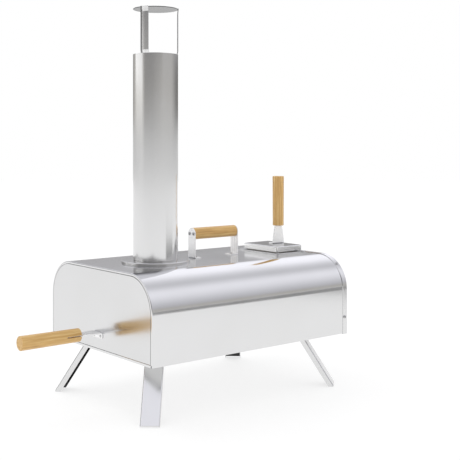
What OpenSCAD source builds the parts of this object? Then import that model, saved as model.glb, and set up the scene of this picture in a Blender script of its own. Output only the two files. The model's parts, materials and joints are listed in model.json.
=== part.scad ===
// Wood fired pizza oven: a round-shouldered steel body on four folding legs,
// with a lift-off chimney, a pellet hopper, a rear burner tray and a pull-off door.
// +X is across, +Y runs from the door to the rear, +Z is up, and z = 0 is the ground.

/* [Body] */
// Width of the body across the outer shell
body_w = 400; // [392:1:412]
// Length from the door face to the back of the rear cap
body_l = 545; // [541:1:552]
// Height of the body from its lower edge to the roof
body_h = 177; // [173:1:184]
// Outer radius of the two long shoulders
shoulder_r = 77; // [66:1:80]
// Ground to the lower edge of the body
ground_gap = 119.5; // [116:0.5:128]
// Thickness of the body sheet
sheet = 1.2; // [1.0:0.1:1.4]

/* [Door] */
// Width of the turned-in lip round the door
lip_w = 4.5; // [4:0.5:6]
// Length of the steel tang between the door and the grip
tang_l = 47; // [38:1:52]
// Length of the wooden door grip
door_grip_l = 134; // [120:1:146]
// Height of the door handle above the lower edge of the body
door_handle_h = 40; // [36:0.5:44]

/* [Chimney] */
// Outer diameter of the chimney pipe
pipe_d = 99.4; // [97:0.2:101]
// Length of the chimney pipe
pipe_l = 452.5; // [380:2.5:480]
// Distance from the door face to the chimney axis
pipe_y = 146.5; // [142:0.5:150]
// Open gap between the pipe rim and the cap
cap_gap = 99; // [70:1:110]
// Diameter of the flange at the chimney base
flange_d = 153; // [140:1:156]

/* [Carry handle] */
// Distance from the door face to the front bracket
carry_y = 246; // [243:1:252]
// Length of the wooden carry grip
carry_grip_l = 123; // [118:1:134]
// Height of the grip axis above the roof
carry_h = 55.5; // [48:0.5:62]

/* [Hopper] */
// Width of the hopper lid across the body
lid_w = 122; // [116:1:132]
// Length of the hopper lid along the body
lid_l = 81; // [79:1:84]
// Height of the lid's turned-down edge
lid_h = 13; // [11:0.5:14]
// Length of the wooden lid grip
lid_grip_l = 121; // [100:1:130]

/* [Legs] */
// Width of a leg
leg_w = 39.5; // [37:0.5:42]
// Depth of a leg's turned-in edges
leg_d = 12; // [11.5:0.5:12.5]
// Outward lean of an open leg, from upright
leg_lean = 32.5; // [28:0.5:34]
// Direction in which a leg points, measured from straight across
leg_turn = 42; // [42:0.5:47]

/* [Hidden] */
$fn = 72;

// General
eps = 0.01;
cut = 1;
gap = 0.3;
body_z0 = ground_gap;
roof_z = body_z0 + body_h;

// Screws and rivets
screw_d = 4;
screw_hole_d = 4.3;
screw_head_d = 7.4;
screw_head_h = 2.4;
rivet_d = 6;
rivet_h = 1.6;

// Door
grip_d_inner = 28;
grip_d_outer = 29.5;
tang_t = 2.5;
tang_w_door = 38;
tang_w_grip = 27;
tang_tab_h = 11;
tang_z = body_z0 + door_handle_h;
door_reach = tang_l + door_grip_l;
slot_l = 34;
door_margin = lip_w + 0.6;
door_rivet_x = 12;
mouth_w = 316;
mouth_h = 88;
mouth_r = 30;
mouth_z = body_z0 + 48;
pan_depth = 20;
pan_gap = 1.5;

// Burner: the pull behind the rear cap is the rearmost point
tray_w = 110;
tray_h = 34;
tray_front_t = 1.5;
tray_play = 1.5;
pull_out = 22;
front_plate_w = 136;
front_plate_h = 56;
front_plate_r = 4;

// The origin is under the middle of the whole length, grip tip to burner pull
y_mid = (body_l + tray_front_t + pull_out - door_reach) / 2;

// Rear cap
cap_flange = 14;
cap_y0 = body_l - cap_flange;
shell_y1 = body_l - sheet;
cap_screw_y = body_l - 9;
cap_screw_side_z = body_z0 + 38;
cap_screw_arc = 48;
cap_screw_r = shoulder_r + sheet;

// Pan under the body, recessed from the lower edge of the shell
pan_recess = 10;
pan_z = body_z0 + pan_recess;
pan_edge_h = 14;

// Inner liner
liner_w = 340;
liner_h = 115;
liner_r = 45;
liner_z = body_z0 + 34;
liner_y1 = body_l - 16;
liner_top = liner_z + liner_h;
tray_z = liner_z + sheet + gap;

// Stone
stone_w = 320;
stone_l = 340;
stone_t = 12;
stone_y = 52;
rail_h = 10;
rail_w = 20;
rail_x = 120;
stone_z = liner_z + sheet + rail_h;

// Chimney
flange_t = 5;
pipe_z0 = roof_z + flange_t;
pipe_z1 = pipe_z0 + pipe_l;
collar_d = pipe_d - 2 * sheet - 1;
collar_rise = 45;
cap_t = 2.5;
cap_z = pipe_z1 + cap_gap;
strap_w = 20;
strap_in_pipe = 14;
strap_step = 7;
strap_flare = 9;
strap_angles = [-64, 56, 176];

// Carry handle
bracket_w = 26;
bracket_t = 2;
bracket_foot = 18;
carry_grip_d = 26.5;
carry_screw_x = 7.25;
foot_screw_y = 11;
carry_y2 = carry_y + bracket_t + carry_grip_l;

// Hopper
lid_y0 = body_l - 92;
lid_top = roof_z + 16;
lid_z0 = lid_top - lid_h;
neck_w = 106;
neck_l = 69;
neck_y0 = lid_y0 + 5;
neck_top = lid_top - sheet;
tray_y0 = neck_y0 - 6;
chute_z0 = tray_z + tray_h + 6;
hopper_plate_w = 158;
hopper_plate_y0 = lid_y0 - 14;
hopper_plate_y1 = cap_y0 - 1;
hopper_plate_t = 1.5;
lid_tang_y = body_l - 33;
lid_tang_w0 = 37;
lid_tang_w1 = 24;
lid_tang_h = 44;
lid_tang_foot = 14;
lid_grip_d = 28;

// Legs
leg_t = 1.5;
leg_foot_x = 185;
leg_foot_y = 4;
leg_foot_rear = 24.5;
leg_pin_d = 5;
leg_pin_play = 0.1;
bracket_base_t = 1.5;
pivot_drop = bracket_base_t + 8.7;
pivot_z = pan_z - pivot_drop;
heel_h = 6;
leg_run = pivot_z * tan(leg_lean) + leg_d / 2 / cos(leg_lean);
pivot_x = leg_foot_x - leg_run * cos(leg_turn);
pivot_y = leg_foot_y + leg_run * sin(leg_turn);
pivot_y2 = body_l - leg_foot_rear - leg_run * sin(leg_turn);
leg_long = pivot_z / cos(leg_lean) + leg_d;
ear_gap = 0.4;
ear_w = leg_w - 2 * leg_t - 2 * ear_gap;

// ---------- helpers ----------

// Puts the door face at its place, so that the whole length is centred on y = 0
module placed() {
    translate([0, -y_mid, 0]) children();
}

// Extrudes an outline drawn in X and Z along Y
module along_y(y0, y1) {
    translate([0, y1, 0]) rotate([90, 0, 0]) linear_extrude(y1 - y0) children();
}

// The round-shouldered outline: flat base, straight sides, two round top corners
module dee(w, h, r) {
    translate([-w / 2, 0]) square([w, h - r]);
    translate([-w / 2 + r, 0]) square([w - 2 * r, h]);
    for (s = [-1, 1]) translate([s * (w / 2 - r), h - r]) circle(r);
}

// The body outline drawn inwards by a margin on every side
module body_dee(m) {
    translate([0, body_z0 + m]) dee(body_w - 2 * m, body_h - 2 * m, shoulder_r - m);
}

// A plate lying flat, with round corners
module round_plate(w, l, t, r) {
    linear_extrude(t) {
        translate([-w / 2 + r, 0]) square([w - 2 * r, l]);
        translate([-w / 2, r]) square([w, l - 2 * r]);
        for (x = [-w / 2 + r, w / 2 - r]) for (y = [r, l - r]) translate([x, y]) circle(r);
    }
}

// A box with its floor at z = 0 and its near face at y = 0, centred on x = 0
module block(w, l, h) {
    translate([-w / 2, 0, 0]) cube([w, l, h]);
}

// A pan-head screw that points down, with its head's underside at z = 0
module screw(shank) {
    difference() {
        cylinder(d1 = screw_head_d, d2 = screw_head_d * 0.7, h = screw_head_h);
        translate([0, 0, screw_head_h - 1]) for (a = [0, 90]) rotate(a)
            translate([-2.2, -0.4, 0]) cube([4.4, 0.8, 2]);
    }
    translate([0, 0, -shank]) cylinder(d = screw_d, h = shank + eps);
}

// A rivet that points down, with its head's underside at z = 0
module rivet(shank) {
    cylinder(d1 = rivet_d, d2 = rivet_d * 0.6, h = rivet_h);
    translate([0, 0, -shank]) cylinder(d = 3, h = shank + eps);
}

// ---------- body ----------

// Two screw places on each side of the rear cap: one low on the side, one on the shoulder
module at_cap_screws() {
    for (s = [-1, 1]) {
        translate([s * (body_w / 2 + sheet), cap_screw_y, cap_screw_side_z])
            rotate([0, s * 90, 0]) children();
        translate([s * (body_w / 2 - shoulder_r), cap_screw_y, roof_z - shoulder_r])
            rotate([0, s * (90 - cap_screw_arc), 0])
            translate([0, 0, cap_screw_r]) children();
    }
}

module at_chimney() {
    translate([0, pipe_y, 0]) children();
}

module outer_shell() {
    color("gainsboro") placed() difference() {
        union() {
            difference() {
                along_y(0, shell_y1) body_dee(0);
                along_y(-cut, body_l) translate([0, -cut]) body_dee_inner();
            }
            difference() {
                along_y(0, sheet) body_dee(0);
                along_y(-cut, sheet + cut) body_dee(lip_w);
            }
        }
        at_chimney() translate([0, 0, liner_top]) cylinder(d = collar_d + 1, h = body_h);
        translate([0, neck_y0 - 0.2, liner_top]) block(neck_w + 0.4, neck_l + 0.4, body_h);
        at_foot_screws() translate([0, 0, -20]) cylinder(d = screw_hole_d, h = 40);
        at_hopper_screws() translate([0, 0, -20]) cylinder(d = screw_hole_d, h = 40);
        at_cap_screws() translate([0, 0, -8]) cylinder(d = screw_hole_d, h = 16);
    }
}

// The inside of the shell, open downwards
module body_dee_inner() {
    translate([0, body_z0 - cut])
        dee(body_w - 2 * sheet, body_h + 2 * cut - sheet, shoulder_r - sheet);
}

module bottom_pan() {
    inner_w = body_w - 2 * sheet;
    pan_l = shell_y1 - 2 * sheet;
    color("silver") placed() translate([0, 2 * sheet, pan_z]) difference() {
        block(inner_w, pan_l, pan_edge_h);
        translate([0, sheet, sheet]) block(inner_w - 2 * sheet, pan_l - 2 * sheet, pan_edge_h);
        translate([0, -2 * sheet, 0]) at_leg_corners() at_bracket_screws()
            translate([0, 0, -cut]) cylinder(d = screw_hole_d, h = 4);
    }
}

module mouth(m) {
    translate([0, mouth_z + m]) dee(mouth_w - 2 * m, mouth_h - 2 * m, mouth_r - m);
}

module front_frame() {
    color("silver") placed() difference() {
        along_y(sheet, 2 * sheet) body_dee(sheet);
        along_y(0, 3 * sheet) mouth(0);
    }
}

module rear_cap() {
    color("gainsboro") placed() difference() {
        along_y(cap_y0, body_l) body_dee(-sheet);
        along_y(cap_y0 - cut, shell_y1) translate([0, -5]) body_dee(0);
        along_y(cap_y0 - cut, shell_y1) body_dee(0);
        tray_opening(body_l);
        at_cap_screws() translate([0, 0, -8]) cylinder(d = screw_hole_d, h = 16);
    }
}

module rear_cap_screws() {
    color("dimgray") placed() at_cap_screws() screw(6);
}

// ---------- inside ----------

module liner_outline(m) {
    translate([0, liner_z + m]) dee(liner_w - 2 * m, liner_h - 2 * m, liner_r - m);
}

module inner_liner() {
    color("darkgray") placed() difference() {
        along_y(2 * sheet, liner_y1) liner_outline(0);
        along_y(0, liner_y1 - sheet) liner_outline(sheet);
        at_chimney() translate([0, 0, liner_top - 10]) cylinder(d = collar_d + 1, h = 20);
        translate([0, neck_y0 - 0.2, liner_top - 10]) block(neck_w + 0.4, neck_l + 0.4, 20);
        tray_opening(liner_y1);
    }
}

module roof_insulation() {
    room = 0.3;
    blanket_z = liner_z + room;
    color("whitesmoke") placed() difference() {
        along_y(2 * sheet, liner_y1) translate([0, blanket_z])
            dee(body_w - 2 * sheet - 2 * room, roof_z - sheet - room - blanket_z,
                shoulder_r - sheet - room);
        along_y(0, body_l) translate([0, body_z0])
            dee(liner_w + 2 * room, liner_top + room - body_z0, liner_r + room);
        at_chimney() translate([0, 0, liner_z]) cylinder(d = collar_d + 4, h = body_h);
        translate([0, neck_y0 - 1, liner_top - 5]) block(neck_w + 2, neck_l + 2, 50);
        at_foot_screws() translate([0, 0, -9]) cylinder(d = screw_d + 2, h = 20);
        at_hopper_screws() translate([0, 0, -9]) cylinder(d = screw_d + 2, h = 20);
    }
}

module floor_insulation() {
    floor_z = pan_z + sheet;
    color("whitesmoke") placed() translate([0, 4 * sheet, floor_z])
        block(body_w - 5 * sheet, liner_y1 - 4 * sheet, liner_z - floor_z);
}

module rear_insulation() {
    color("whitesmoke") placed() difference() {
        translate([0, liner_y1, liner_z]) block(liner_w, 12, liner_h - liner_r);
        translate([0, liner_y1 - cut, liner_z - cut]) block(tray_w + 4, 20, tray_h + 6);
    }
}

module pizza_stone() {
    color("wheat") placed() translate([0, stone_y, stone_z])
        round_plate(stone_w, stone_l, stone_t, 8);
}

module stone_rail(s) {
    color("darkgray") placed() translate([s * rail_x, stone_y, liner_z + sheet]) difference() {
        block(rail_w, stone_l - 20, rail_h);
        translate([0, -cut, -cut]) block(rail_w - 2 * sheet, stone_l, rail_h + cut - sheet);
    }
}
module stone_rail_left() { stone_rail(-1); }
module stone_rail_right() { stone_rail(1); }

// A bent plate behind the stone that sends the flames up over it
module heat_deflector() {
    deflector_y = stone_y + stone_l + 14;
    deflector_h = 48;
    foot_l = 14;
    color("darkgray") placed() translate([0, deflector_y, liner_z + sheet]) difference() {
        union() {
            block(stone_w - 20, 1.5, deflector_h);
            block(stone_w - 20, foot_l, 1.5);
        }
        for (i = [-4:4]) translate([i * 32, -cut, deflector_h - 14])
            rotate([-90, 0, 0]) cylinder(d = 8, h = 4);
    }
}

// ---------- chimney ----------

module chimney_flange() {
    color("silver") placed() at_chimney() translate([0, 0, roof_z]) difference() {
        cylinder(d = flange_d, h = flange_t);
        translate([0, 0, -cut]) cylinder(d = collar_d + 0.4, h = flange_t + 2 * cut);
    }
}

module chimney_collar() {
    color("darkgray") placed() at_chimney() translate([0, 0, liner_top - 8]) difference() {
        cylinder(d = collar_d, h = roof_z + collar_rise - liner_top + 8);
        translate([0, 0, -cut]) cylinder(d = collar_d - 2 * sheet, h = body_h);
    }
}

module chimney_pipe() {
    color("silver") placed() at_chimney() translate([0, 0, pipe_z0]) difference() {
        cylinder(d = pipe_d, h = pipe_l);
        translate([0, 0, -cut]) cylinder(d = pipe_d - 2 * sheet, h = pipe_l + 2 * cut);
    }
}

// A thin disc of the pipe's own diameter, held by the flared ends of the straps
module chimney_cap() {
    color("silver") placed() at_chimney() translate([0, 0, cap_z])
        cylinder(d = pipe_d, h = cap_t);
}

// A strip of a turned profile: it stands inside the pipe, steps out over the rim,
// rises in line with the pipe and flares round the rim of the cap
module cap_strap(a) {
    r_pipe = pipe_d / 2 - sheet;
    r_up = pipe_d / 2 + 0.4;
    r_cap = pipe_d / 2 + sheet;
    z_cap = cap_gap + cap_t;
    color("silver") placed() at_chimney() translate([0, 0, pipe_z1]) rotate(a) intersection() {
        rotate_extrude() polygon([
            [r_pipe, -strap_in_pipe], [r_pipe, 0], [r_up, strap_step],
            [r_up, cap_gap - strap_flare], [r_cap, cap_gap], [r_cap, z_cap],
            [r_cap - sheet, z_cap], [r_cap - sheet, cap_gap],
            [r_up - sheet, cap_gap - strap_flare], [r_up - sheet, strap_step],
            [r_pipe - sheet, 0], [r_pipe - sheet, -strap_in_pipe]]);
        translate([0, -strap_w / 2, -strap_in_pipe]) cube([pipe_d, strap_w, z_cap + strap_in_pipe]);
    }
}
module cap_strap_front() { cap_strap(strap_angles[0]); }
module cap_strap_right() { cap_strap(strap_angles[1]); }
module cap_strap_left() { cap_strap(strap_angles[2]); }

// ---------- carry handle ----------

module at_foot_screws() {
    translate([0, carry_y + foot_screw_y, roof_z]) children();
    translate([0, carry_y2 + bracket_t - foot_screw_y, roof_z]) children();
}

// Side screws, with +Z pointing away from the grip at each end
module at_grip_screws() {
    for (x = [-carry_screw_x, carry_screw_x]) {
        translate([x, carry_y, roof_z + carry_h]) rotate([90, 0, 0]) children();
        translate([x, carry_y2 + bracket_t, roof_z + carry_h]) rotate([-90, 0, 0]) children();
    }
}

// Upright plate with a round top and a foot turned in under the grip
module carry_bracket(y, foot_dir) {
    foot_y = foot_dir > 0 ? y : y + bracket_t - bracket_foot;
    color("silver") placed() difference() {
        union() {
            along_y(y, y + bracket_t) {
                translate([-bracket_w / 2, roof_z]) square([bracket_w, carry_h]);
                translate([0, roof_z + carry_h]) circle(bracket_w / 2);
            }
            translate([0, foot_y, roof_z]) block(bracket_w, bracket_foot, bracket_t);
        }
        at_foot_screws() translate([0, 0, -cut]) cylinder(d = screw_hole_d, h = 8);
        at_grip_screws() translate([0, 0, -6]) cylinder(d = screw_hole_d, h = 12);
    }
}
module carry_bracket_front() { carry_bracket(carry_y, 1); }
module carry_bracket_rear() { carry_bracket(carry_y2, -1); }

module carry_grip() {
    color("burlywood") placed() difference() {
        translate([0, carry_y + bracket_t, roof_z + carry_h]) rotate([-90, 0, 0])
            cylinder(d = carry_grip_d, h = carry_grip_l);
        at_grip_screws() translate([0, 0, -16]) cylinder(d = screw_d + 0.1, h = 20);
    }
}

module carry_screws() {
    color("dimgray") placed() {
        at_foot_screws() translate([0, 0, bracket_t]) screw(8);
        at_grip_screws() screw(14);
    }
}

// ---------- hopper ----------

module at_hopper_screws() {
    edge = 6;
    for (x = [-1, 1]) for (y = [hopper_plate_y0 + edge, hopper_plate_y1 - edge])
        translate([x * (hopper_plate_w / 2 - edge), y, roof_z]) children();
}

module hopper_flange() {
    color("silver") placed() difference() {
        translate([0, hopper_plate_y0, roof_z])
            round_plate(hopper_plate_w, hopper_plate_y1 - hopper_plate_y0, hopper_plate_t, 4);
        translate([0, neck_y0, roof_z - cut]) block(neck_w, neck_l, 5);
        at_hopper_screws() translate([0, 0, -cut]) cylinder(d = screw_hole_d, h = 8);
    }
}

// The square duct that feeds the tray, from under the lid down through the roof
module hopper_chute() {
    color("darkgray") placed() translate([0, neck_y0, chute_z0]) difference() {
        block(neck_w, neck_l, neck_top - chute_z0);
        translate([0, sheet, -cut]) block(neck_w - 2 * sheet, neck_l - 2 * sheet, body_h);
    }
}

module hopper_screws() {
    color("dimgray") placed() at_hopper_screws() translate([0, 0, hopper_plate_t]) screw(7);
}

module hopper_lid() {
    color("gainsboro") placed() translate([0, lid_y0, lid_z0]) difference() {
        round_plate(lid_w, lid_l, lid_h, 3);
        translate([0, sheet, -cut]) round_plate(lid_w - 2 * sheet, lid_l - 2 * sheet,
                                                lid_h + cut - sheet, 2);
        translate([0, lid_tang_y - lid_y0, lid_h]) at_lid_rivets()
            translate([0, 0, -4]) cylinder(d = 3.1, h = 8);
    }
}

module at_lid_rivets() {
    for (y = [-10, 10]) translate([-lid_tang_foot / 2 - 1, y, 0]) children();
}

// Upright flat tang in the YZ plane, wider at its foot, with the foot bent over
module lid_tang() {
    tang_in_grip = 30;
    color("silver") placed() translate([0, lid_tang_y, lid_top]) difference() {
        union() {
            translate([-tang_t / 2, 0, 0]) rotate([90, 0, 90]) linear_extrude(tang_t)
                polygon([[-lid_tang_w0 / 2, 0], [lid_tang_w0 / 2, 0],
                         [lid_tang_w1 / 2, lid_tang_h - 2], [8, lid_tang_h - 2],
                         [8, lid_tang_h + tang_in_grip], [-8, lid_tang_h + tang_in_grip],
                         [-8, lid_tang_h - 2], [-lid_tang_w1 / 2, lid_tang_h - 2]]);
            translate([-lid_tang_foot, -lid_tang_w0 / 2, 0])
                cube([lid_tang_foot, lid_tang_w0, tang_t]);
        }
        at_lid_rivets() translate([0, 0, -4]) cylinder(d = 3.1, h = 12);
    }
}

module lid_grip() {
    color("burlywood") placed() translate([0, lid_tang_y, lid_top + lid_tang_h]) difference() {
        cylinder(d = lid_grip_d, h = lid_grip_l);
        translate([-tang_t / 2 - 0.1, -8.1, -cut]) cube([tang_t + 0.2, 16.2, 31.1 + cut]);
    }
}

module lid_rivets() {
    color("dimgray") placed() translate([0, lid_tang_y, lid_top]) at_lid_rivets()
        translate([0, 0, tang_t]) rivet(tang_t + sheet);
}

// ---------- door ----------

module at_door_rivets() {
    for (x = [-door_rivet_x, door_rivet_x])
        translate([x, -tang_t, tang_z - tang_tab_h / 2 - 1]) rotate([90, 0, 0]) children();
}

module door_plate() {
    color("gainsboro") placed() difference() {
        along_y(0, sheet) body_dee(door_margin);
        at_door_rivets() translate([0, 0, -6]) cylinder(d = 3.1, h = 12);
    }
}

// The inner pan that plugs the mouth and carries the door
module door_pan() {
    color("darkgray") placed() difference() {
        along_y(sheet, sheet + pan_depth) mouth(pan_gap);
        along_y(0, pan_depth) mouth(pan_gap + sheet);
    }
}

module door_insulation() {
    color("whitesmoke") placed() along_y(3 * sheet, pan_depth - 0.2) mouth(pan_gap + sheet + gap);
}

// Flat tang, wider at the door, with its end bent down against the plate
module door_tang() {
    tang_in_grip = 32;
    color("silver") placed() difference() {
        union() {
            translate([0, 0, tang_z - tang_t / 2]) linear_extrude(tang_t)
                polygon([[-tang_w_door / 2, 0], [-tang_w_grip / 2, -tang_l + 2],
                         [-8, -tang_l + 2], [-8, -tang_l - tang_in_grip],
                         [8, -tang_l - tang_in_grip], [8, -tang_l + 2],
                         [tang_w_grip / 2, -tang_l + 2], [tang_w_door / 2, 0]]);
            translate([0, -tang_t, tang_z - tang_tab_h])
                block(tang_w_door - 4, tang_t, tang_tab_h);
        }
        at_door_rivets() translate([0, 0, -6]) cylinder(d = 3.1, h = 12);
    }
}

module door_grip() {
    color("burlywood") placed() translate([0, -tang_l, tang_z]) difference() {
        rotate([90, 0, 0]) cylinder(d1 = grip_d_inner, d2 = grip_d_outer, h = door_grip_l);
        translate([-grip_d_outer, -slot_l, -tang_t / 2 - 0.1])
            cube([2 * grip_d_outer, slot_l + cut, tang_t + 0.2]);
    }
}

module door_rivets() {
    color("dimgray") placed() at_door_rivets() rivet(tang_t + sheet);
}

// ---------- burner ----------

// The opening that the tray slides through, in a wall that starts near y
module tray_opening(y) {
    translate([0, y - 5, tray_z - gap]) block(tray_w + 2 * tray_play, 10, tray_h + gap + tray_play);
}

module burner_tray() {
    tray_l = body_l - tray_y0;
    color("dimgray") placed() translate([0, tray_y0, tray_z]) difference() {
        block(tray_w, tray_l, tray_h);
        translate([0, sheet, 12]) block(tray_w - 2 * sheet, tray_l - 2 * sheet, tray_h);
        translate([0, sheet, sheet]) block(tray_w - 2 * sheet - 8, tray_l - 2 * sheet, tray_h);
    }
}

// A slotted plate that the fuel lies on, resting on the tray's inner step
module burner_grate() {
    grate_l = body_l - tray_y0 - 2 * sheet - 1;
    slots = 8;
    pitch = 11;
    color("dimgray") placed() translate([0, tray_y0 + sheet + 0.5, tray_z + 12]) difference() {
        block(tray_w - 2 * sheet - 1, grate_l, 2);
        for (i = [0:slots - 1]) translate([(i - (slots - 1) / 2) * pitch, 8, -cut])
            block(5, grate_l - 16, 5);
    }
}

// The plate behind the rear cap, with two rows of air slots
module burner_front() {
    color("gainsboro") placed() translate([0, body_l, tray_z + tray_h / 2]) difference() {
        translate([0, tray_front_t, -front_plate_h / 2]) rotate([90, 0, 0])
            round_plate(front_plate_w, front_plate_h, tray_front_t, front_plate_r);
        for (x = [-44, 44]) for (i = [-2:2]) translate([x + i * 7, -cut, -10])
            block(3, 5, 20);
    }
}

module burner_pull() {
    pull_w = 46;
    pull_h = 12;
    color("silver") placed()
        translate([0, body_l + tray_front_t, tray_z + tray_h / 2 - pull_h / 2]) difference() {
            block(pull_w, pull_out, pull_h);
            translate([0, -cut, -cut]) block(pull_w - 5, pull_out + cut - 2.5, pull_h + 2 * cut);
        }
}

// ---------- legs ----------

// One of the four corners: +X of the children points outwards, the way the leg leans
module at_corner(sx, front) {
    y = front ? pivot_y : pivot_y2;
    a = (front ? -1 : 1) * (sx > 0 ? leg_turn : 180 - leg_turn);
    translate([sx * pivot_x, y, pan_z]) rotate(a) children();
}

module at_leg_corners() {
    translate([0, 0, -pan_z]) for (sx = [-1, 1]) for (front = [true, false])
        at_corner(sx, front) children();
}

// A sheet channel with turned-in edges, hung from the pin and cut level at the ground
module leg(sx, front) {
    reach = leg_d / 2;
    color("silver") placed() at_corner(sx, front) translate([0, 0, -pivot_drop]) difference() {
        rotate([0, -leg_lean, 0]) difference() {
            union() {
                translate([-reach, -leg_w / 2, -leg_long]) cube([leg_d, leg_w, leg_long]);
                translate([0, -leg_w / 2, -eps]) cube([reach, leg_w, heel_h + eps]);
                rotate([90, 0, 0]) cylinder(d = leg_d, h = leg_w, center = true);
            }
            translate([-reach - cut, -leg_w / 2 + leg_t, -leg_long - cut])
                cube([leg_d + cut - leg_t, leg_w - 2 * leg_t, leg_long + 2 * cut + leg_d]);
            rotate([90, 0, 0])
                cylinder(d = leg_pin_d + leg_pin_play, h = leg_w + 2 * cut, center = true);
            translate([reach, 0, -leg_long + leg_d * 0.75]) rotate([0, 45, 0])
                cube([5, leg_w + 2, 5], center = true);
        }
        translate([-leg_long, -leg_long, -pivot_z - leg_long])
            cube([3 * leg_long, 2 * leg_long, leg_long]);
    }
}
module leg_front_right() { leg(1, true); }
module leg_front_left() { leg(-1, true); }
module leg_rear_right() { leg(1, false); }
module leg_rear_left() { leg(-1, false); }

module at_bracket_screws() {
    for (y = [-10, 10]) translate([-14, y, 0]) children();
}

// A base plate under the pan with two ears for the pin
module leg_bracket(sx, front) {
    base_l = 28;
    ear_r = 6;
    color("silver") placed() at_corner(sx, front) difference() {
        union() {
            translate([-base_l + 5, -ear_w / 2, -bracket_base_t])
                cube([base_l, ear_w, bracket_base_t]);
            for (y = [-ear_w / 2, ear_w / 2 - leg_t]) translate([0, y, 0]) {
                translate([-ear_r, 0, -pivot_drop]) cube([ear_r, leg_t, pivot_drop]);
                translate([0, 0, -pivot_drop]) rotate([-90, 0, 0]) cylinder(r = 4.2, h = leg_t);
            }
        }
        translate([0, 0, -pivot_drop]) rotate([90, 0, 0])
            cylinder(d = leg_pin_d, h = leg_w, center = true);
        at_bracket_screws() translate([0, 0, -5]) cylinder(d = screw_hole_d, h = 8);
    }
}
module leg_bracket_front_right() { leg_bracket(1, true); }
module leg_bracket_front_left() { leg_bracket(-1, true); }
module leg_bracket_rear_right() { leg_bracket(1, false); }
module leg_bracket_rear_left() { leg_bracket(-1, false); }

module leg_pins() {
    color("dimgray") placed() translate([0, 0, pan_z]) at_leg_corners()
        translate([0, 0, -pivot_drop]) rotate([90, 0, 0])
        cylinder(d = leg_pin_d, h = leg_w + 1, center = true);
}

module bracket_screws() {
    color("dimgray") placed() translate([0, 0, pan_z]) at_leg_corners() at_bracket_screws()
        translate([0, 0, -bracket_base_t]) mirror([0, 0, 1]) screw(bracket_base_t + sheet);
}

// ---------- assembly ----------

outer_shell();
bottom_pan();
front_frame();
rear_cap();
rear_cap_screws();
inner_liner();
roof_insulation();
floor_insulation();
rear_insulation();
pizza_stone();
stone_rail_left();
stone_rail_right();
heat_deflector();
chimney_flange();
chimney_collar();
chimney_pipe();
chimney_cap();
cap_strap_front();
cap_strap_right();
cap_strap_left();
carry_bracket_front();
carry_bracket_rear();
carry_grip();
carry_screws();
hopper_flange();
hopper_chute();
hopper_screws();
hopper_lid();
lid_tang();
lid_grip();
lid_rivets();
door_plate();
door_pan();
door_insulation();
door_tang();
door_grip();
door_rivets();
burner_tray();
burner_grate();
burner_front();
burner_pull();
leg_front_right();
leg_front_left();
leg_rear_right();
leg_rear_left();
leg_bracket_front_right();
leg_bracket_front_left();
leg_bracket_rear_right();
leg_bracket_rear_left();
leg_pins();
bracket_screws();
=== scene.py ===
import json
import math
import bmesh
import bpy
from mathutils import Matrix, Vector


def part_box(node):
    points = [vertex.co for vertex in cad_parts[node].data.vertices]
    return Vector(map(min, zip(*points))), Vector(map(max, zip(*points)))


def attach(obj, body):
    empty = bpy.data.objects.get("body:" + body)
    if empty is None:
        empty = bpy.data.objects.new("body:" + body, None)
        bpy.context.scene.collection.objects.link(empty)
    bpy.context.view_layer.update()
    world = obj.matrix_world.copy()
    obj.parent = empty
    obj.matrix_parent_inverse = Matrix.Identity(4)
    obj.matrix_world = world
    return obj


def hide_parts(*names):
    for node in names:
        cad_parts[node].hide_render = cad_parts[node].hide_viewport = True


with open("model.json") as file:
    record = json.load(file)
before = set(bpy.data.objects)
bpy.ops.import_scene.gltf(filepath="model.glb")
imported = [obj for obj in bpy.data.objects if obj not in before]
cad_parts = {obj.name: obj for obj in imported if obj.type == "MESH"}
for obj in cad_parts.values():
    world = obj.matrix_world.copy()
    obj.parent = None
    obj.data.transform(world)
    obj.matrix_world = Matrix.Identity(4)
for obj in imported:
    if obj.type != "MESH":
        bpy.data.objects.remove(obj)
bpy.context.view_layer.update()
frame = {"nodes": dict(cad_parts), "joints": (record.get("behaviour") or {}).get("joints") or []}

MM = 0.001
SHARP = math.radians(35)
NODES = frame["nodes"]


# ---------- places taken from the frame ----------

def low(node):
    return Vector(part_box(node)[0])


def high(node):
    return Vector(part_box(node)[1])


def middle(node):
    return (low(node) + high(node)) / 2


def size(node):
    return high(node) - low(node)


SHEET = 1.2 * MM
FRONT_Y = low("outer_shell").y
BODY_Z = low("outer_shell").z
ROOF_Z = high("outer_shell").z
BODY_W = size("outer_shell").x
BODY_H = size("outer_shell").z
SHOULDER_R = 77 * MM
REAR_Y = high("rear_cap").y
SCREW_R = 3.7 * MM
QUARTER = [math.radians(k) for k in range(0, 91, 15)]


# ---------- shader helpers ----------

class Shader:
    """A small wrapper that makes nodes and links them by their socket names."""

    def __init__(self, name):
        self.material = bpy.data.materials.new(name)
        self.material.use_nodes = True
        self.tree = self.material.node_tree
        self.surface = self.tree.nodes["Principled BSDF"]

    def add(self, kind, inputs=None, **settings):
        return add_node(self.tree, kind, inputs, **settings)

    def set(self, **values):
        for key, value in values.items():
            self.surface.inputs[key.replace("_", " ")].default_value = value

    def link(self, source, target):
        self.tree.links.new(source, self.surface.inputs[target])


def add_node(tree, kind, inputs=None, **settings):
    node = tree.nodes.new(kind)
    for key, value in settings.items():
        setattr(node, key, value)
    for key, value in (inputs or {}).items():
        if isinstance(value, bpy.types.NodeSocket):
            tree.links.new(value, node.inputs[key])
        else:
            node.inputs[key].default_value = value
    return node


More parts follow.
